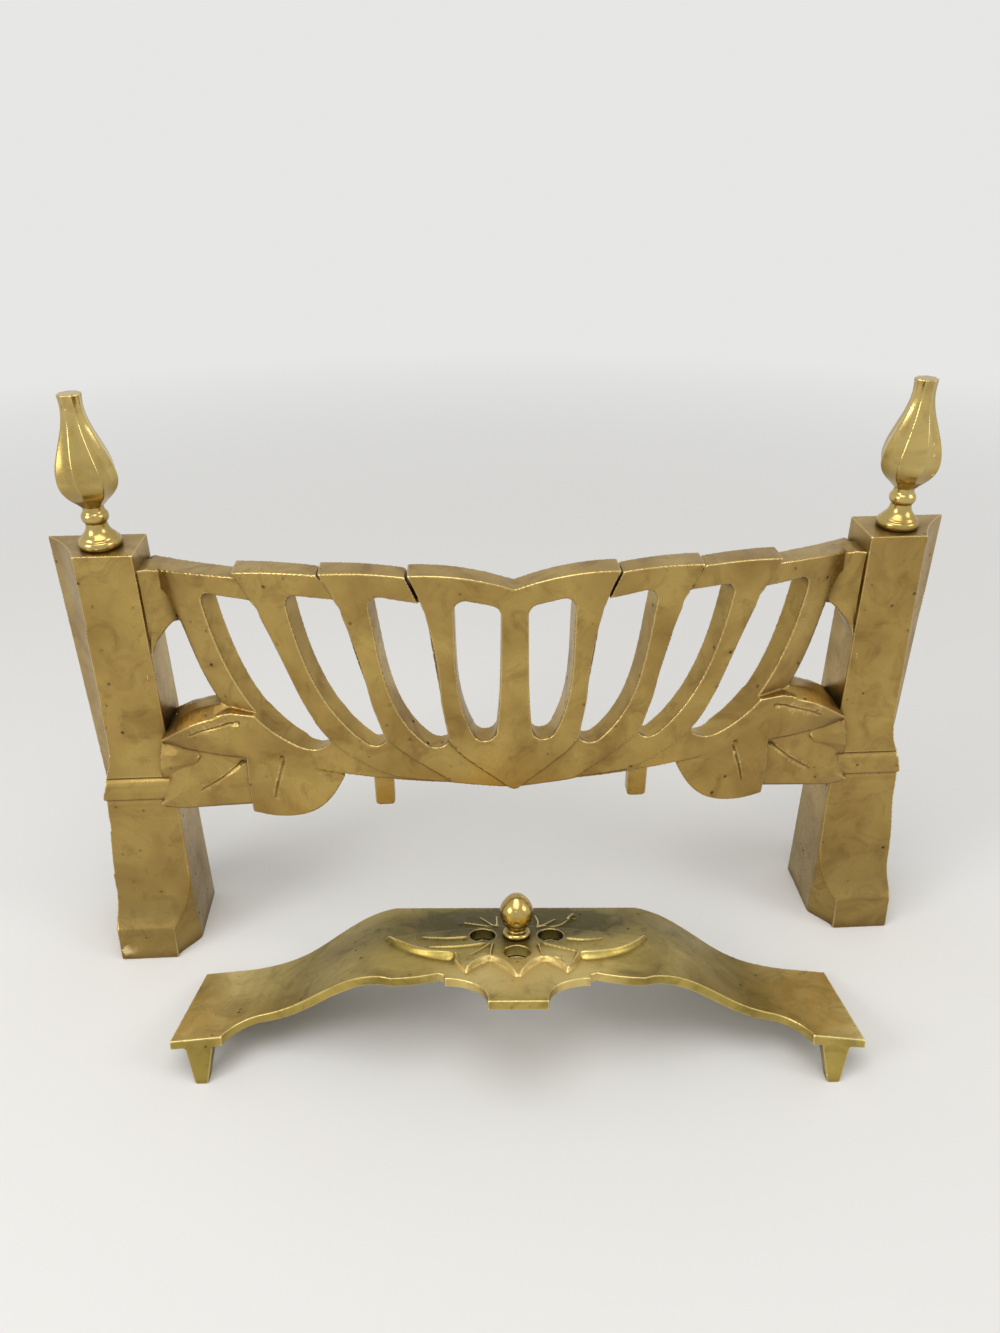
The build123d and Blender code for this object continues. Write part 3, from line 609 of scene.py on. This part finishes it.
for side, sign in (("right", 1), ("left", -1)):
    finial = weldedCopy(side + "_finial", side + "FlameFinial")
    makeActive(finial)
    bpy.ops.object.mode_set(mode="EDIT")
    bpy.ops.mesh.select_all(action="SELECT")
    bpy.ops.mesh.bisect(plane_co=(0, 0, (flame["base"] + flame["footTop"]) * millimetre), plane_no=(0, 0, 1),
                        clear_outer=True, use_fill=True)
    bpy.ops.object.mode_set(mode="OBJECT")
    joinInto(finial, [fluteFlame(side + "Flame", sign)])
    castSkin(finial, flameSkin)
    finishPiece(finial, "polished_brass", "root", side + "_finial")
print("finials fluted")

# ash cover: a lotus in low relief; u runs across the plate, v towards the grate
coverPlace = {"across": 1.0, "depth": 97.4, "lift": 5.5, "turn": -3.24, "tilt": 17, "rise": 47.6}
coverSkin = {"voxel": 0.6, "smoothing": 4, "triangles": 197000}
lotusPetals = [  # line, half width, height, size at its start, size at its end
    ([(-80, -43), (-70, -51.5), (-59, -59.5), (-48, -64), (-37, -66.5)], 4.2, 2.6, 0.3, 1.0),
    ([(80, -42), (71, -52.5), (60, -60.5), (48, -64), (37, -65)], 4.2, 2.6, 0.3, 1.0),
    ([(-37, -66), (-35.5, -74), (-30, -82)], 2.8, 2.2, 1.0, 0.7),
    ([(37, -65), (33.5, -75), (29, -82)], 2.8, 2.2, 1.0, 0.7),
    ([(-30, -82), (-25, -74), (-17, -68.5), (-8, -74), (-1, -87)], 2.1, 2.0, 0.8, 0.8),
    ([(29, -82), (24, -73.5), (16, -69), (8, -74), (1.5, -87)], 2.1, 2.0, 0.8, 0.8),
]
lotusVeins = [
    [(-58, -44), (-43, -45.5), (-30, -44)], [(-53, -56), (-36, -55.5), (-19, -52)],
    [(-33, -22.5), (-22, -26), (-11, -30)], [(-23, -15.5), (-12.5, -29.5)], [(-12.5, -14), (-12, -29)],
    [(-28, -66), (-22, -59.5), (-16, -52)], [(-16, -68), (-15.5, -59), (-14.5, -52)],
    [(38, -17), (33, -19.5), (27, -26.5), (12.5, -31)], [(25, -18), (14, -29.5)], [(12.5, -13), (14, -22), (13, -29)],
    [(52, -46), (41, -47.5), (30, -46)], [(36, -61.5), (26, -57), (15, -52)], [(27, -78), (26, -70), (16, -68.5)],
    [(16, -68), (14, -60), (13, -53)],
]
lotusPetalSharpness = 0.8
lotusVeinSize = {"halfWidth": 1.35, "height": 1.25, "startTaper": 0.6, "endTaper": 1.0}
lotusBud = {"line": [(33.5, -18), (37, -12.5)], "halfWidth": 3.4, "height": 2.3, "startTaper": 0.8, "endTaper": 1.0}
# only the top skin within this half span is raised, and nothing close to the four vents or the knob between them
lotusField = {"skin": 1.5, "halfSpan": 90}
lotusVents = {"middle": -40.5, "reach": 21, "clear": 8.6, "knobClear": 10.5, "fade": 1.2}


def raiseLotus(piece):
    turn, tilt = math.radians(coverPlace["turn"]), math.radians(coverPlace["tilt"])
    across = np.array((math.cos(turn), math.sin(turn), 0))
    square = np.array((-math.sin(turn) * math.sin(tilt), math.cos(turn) * math.sin(tilt), math.cos(tilt)))
    inward = np.cross(square, across)
    points = readPoints(piece)
    middle = (coverPlace["across"], backY - coverPlace["depth"], coverPlace["lift"] * math.cos(tilt))
    local = points - np.array(middle)
    flat = np.column_stack([local @ across, local @ inward])
    top = (local @ square > coverPlace["rise"] - lotusField["skin"]) & (np.abs(flat[:, 0]) < lotusField["halfSpan"])
    spot = flat[top]
    lift = np.zeros(len(spot))
    for line, halfWidth, height, begin, end in lotusPetals:
        lift = np.maximum(lift, lineHeight(spot, line, halfWidth, height, begin, end, lotusPetalSharpness))
    for line in lotusVeins:
        lift = np.maximum(lift, lineHeight(spot, line, **lotusVeinSize))
    lift = np.maximum(lift, lineHeight(spot, lotusBud["line"], lotusBud["halfWidth"], lotusBud["height"],
                                       lotusBud["startTaper"], lotusBud["endTaper"]))
    for side, inwards in ((1, 0), (-1, 0), (0, 1), (0, -1), (0, 0)):
        vent = np.array((side * lotusVents["reach"], inwards * lotusVents["reach"] + lotusVents["middle"]))
        clear = lotusVents["clear"] if side or inwards else lotusVents["knobClear"]
        lift *= np.clip((np.linalg.norm(spot - vent, axis=1) - clear) / lotusVents["fade"], 0, 1)
    points[top] += lift[:, None] * square
    writePoints(piece, points)


castPiece("ash_cover", "archedCover", "olive_brass", "cover", coverSkin, raiseLotus)

# damper knob and disc
knobSkin = {"voxel": 0.35, "smoothing": 3, "triangles": 40000}
discSkin = {"voxel": 0.45, "smoothing": 2, "triangles": 60000}
castPiece("damper_knob", "eggKnob", "polished_brass", "damper", knobSkin)
castPiece("damper_disc", "drilledDisc", "olive_brass", "damper", discSkin)
print("cover and damper made")

# studio
# the floor fades into the backdrop between two distances from the middle, so that no horizon shows
studio = {"floorSize": 12.0, "floorColour": (0.78, 0.77, 0.75), "floorRoughness": 0.9, "fadeFrom": 0.55, "fadeTo": 1.9,
          "skyColour": (0.80, 0.80, 0.79), "skyStrength": 0.72}


# 1 for the rays that look at the backdrop: camera, glossy and transmission
def seenRays(nodes, links):
    rays = nodes.new("ShaderNodeLightPath")
    seen = rays.outputs["Is Camera Ray"]
    for kind in ("Is Glossy Ray", "Is Transmission Ray"):
        either = nodes.new("ShaderNodeMath")
        either.operation = "MAXIMUM"
        links.new(seen, either.inputs[0])
        links.new(rays.outputs[kind], either.inputs[1])
        seen = either.outputs["Value"]
    return seen


deselectAll()
bpy.ops.mesh.primitive_plane_add(size=studio["floorSize"], location=(0, 0, 0))
floor = bpy.context.object
floor.name = "paleFloor"
floorTree = FinishTree("palePaper")
floorTree.shader.inputs["Roughness"].default_value = studio["floorRoughness"]
floorTree.shader.inputs["Base Color"].default_value = (*studio["floorColour"], 1)
away = floorTree.nodes.new("ShaderNodeVectorMath")
away.operation = "LENGTH"
floorTree.links.new(floorTree.place, away.inputs[0])
fade = floorTree.span(away.outputs["Value"], studio["fadeFrom"], studio["fadeTo"])
haze = floorTree.nodes.new("ShaderNodeEmission")
haze.inputs["Color"].default_value = (*studio["skyColour"], 1)
floorMix = floorTree.nodes.new("ShaderNodeMixShader")
seen = seenRays(floorTree.nodes, floorTree.links)
floorTree.links.new(floorTree.sums("MULTIPLY", fade, seen), floorMix.inputs["Fac"])
floorTree.links.new(floorTree.shader.outputs["BSDF"], floorMix.inputs[1])
floorTree.links.new(haze.outputs["Emission"], floorMix.inputs[2])
floorTree.links.new(floorMix.outputs["Shader"], floorTree.nodes["Material Output"].inputs["Surface"])
floor.data.materials.append(floorTree.material)

world = bpy.data.worlds.new("paleStudio")
bpy.context.scene.world = world
world.use_nodes = True
skyNodes = world.node_tree.nodes
skyLinks = world.node_tree.links
sky = skyNodes["Background"]
sky.inputs["Color"].default_value = (*studio["skyColour"], 1)
sky.inputs["Strength"].default_value = studio["skyStrength"]
backdrop = skyNodes.new("ShaderNodeBackground")
backdrop.inputs["Color"].default_value = (*studio["skyColour"], 1)
chooser = skyNodes.new("ShaderNodeMixShader")
skyLinks.new(seenRays(skyNodes, skyLinks), chooser.inputs["Fac"])
skyLinks.new(sky.outputs["Background"], chooser.inputs[1])
skyLinks.new(backdrop.outputs["Background"], chooser.inputs[2])
skyLinks.new(chooser.outputs["Shader"], skyNodes["World Output"].inputs["Surface"])

lamps = {
    "overheadSoftbox": {"place": (-0.1, -0.35, 1.5), "aim": (0, 0, 0.1), "size": 0.9, "power": 8},
    "leftSoftbox": {"place": (-1.3, -0.7, 0.9), "aim": (0, 0, 0.15), "size": 0.6, "power": 7.5},
    "rightSoftbox": {"place": (1.3, -0.5, 1.0), "aim": (0, 0, 0.15), "size": 0.6, "power": 4},
}
for lampName, lamp in lamps.items():
    bpy.ops.object.light_add(type="AREA", location=lamp["place"])
    light = bpy.context.object
    light.name = lampName
    light.data.size = lamp["size"]
    light.data.energy = lamp["power"]
    light.rotation_euler = (Vector(lamp["aim"]) - Vector(lamp["place"])).to_track_quat("-Z", "Y").to_euler()

# camera, as the photograph was taken
shot = {"place": (-0.0351, -0.47962, 0.5160), "pitch": 29.711, "roll": -0.218, "yaw": 3.159, "lens": 27.007,
        "sensorHeight": 36, "nearest": 0.01}
pitch, roll, yaw = (math.radians(shot[key]) for key in ("pitch", "roll", "yaw"))
ahead = Vector((math.sin(yaw) * math.cos(pitch), math.cos(yaw) * math.cos(pitch), -math.sin(pitch)))
level = Vector((math.cos(yaw), -math.sin(yaw), 0))
upward = level.cross(ahead)
sideways = level * math.cos(roll) + upward * math.sin(roll)
upright = upward * math.cos(roll) - level * math.sin(roll)
bpy.ops.object.camera_add(location=shot["place"])
camera = bpy.context.object
camera.rotation_euler = Matrix((sideways, upright, -ahead)).transposed().to_euler()
camera.data.sensor_fit = "VERTICAL"
camera.data.sensor_height = shot["sensorHeight"]
camera.data.lens = shot["lens"]
camera.data.clip_start = shot["nearest"]
bpy.context.scene.camera = camera
bpy.context.scene.view_settings.view_transform = "Standard"

print("scene ready")
